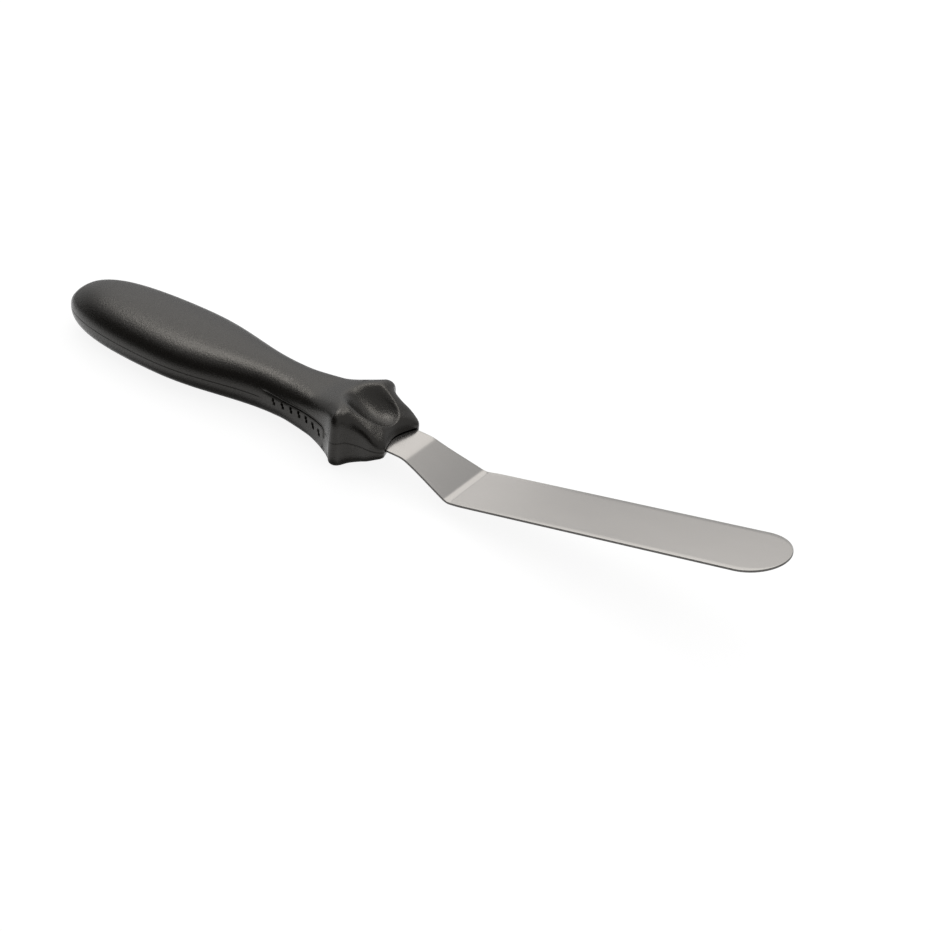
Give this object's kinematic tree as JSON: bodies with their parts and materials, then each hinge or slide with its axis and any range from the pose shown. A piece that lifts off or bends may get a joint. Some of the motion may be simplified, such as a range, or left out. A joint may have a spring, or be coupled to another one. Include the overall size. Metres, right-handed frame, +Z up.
{
  "type": "offset spatula",
  "caption": "Small offset spatula: a cranked, round-ended stainless blade in a waisted dark plastic handle with a flared, dimpled guard.",
  "frame": {"origin": "on the resting plane, below the middle of the spatula's length and width", "axes": "+X from the butt of the handle to the tip of the blade, +Z up as the spatula lies, XZ the plane of symmetry"},
  "size_m": [0.2187, 0.0274, 0.0258],
  "materials": {
    "handle_plastic": "dark warm grey, finely grained as moulded, soft sheen",
    "blade_steel": "rolled stainless strip, finely brushed along its length, nearly bright"
  },
  "bodies": {
    "root": {"handle": "handle_plastic", "blade": "blade_steel"}
  },
  "joints": []
}
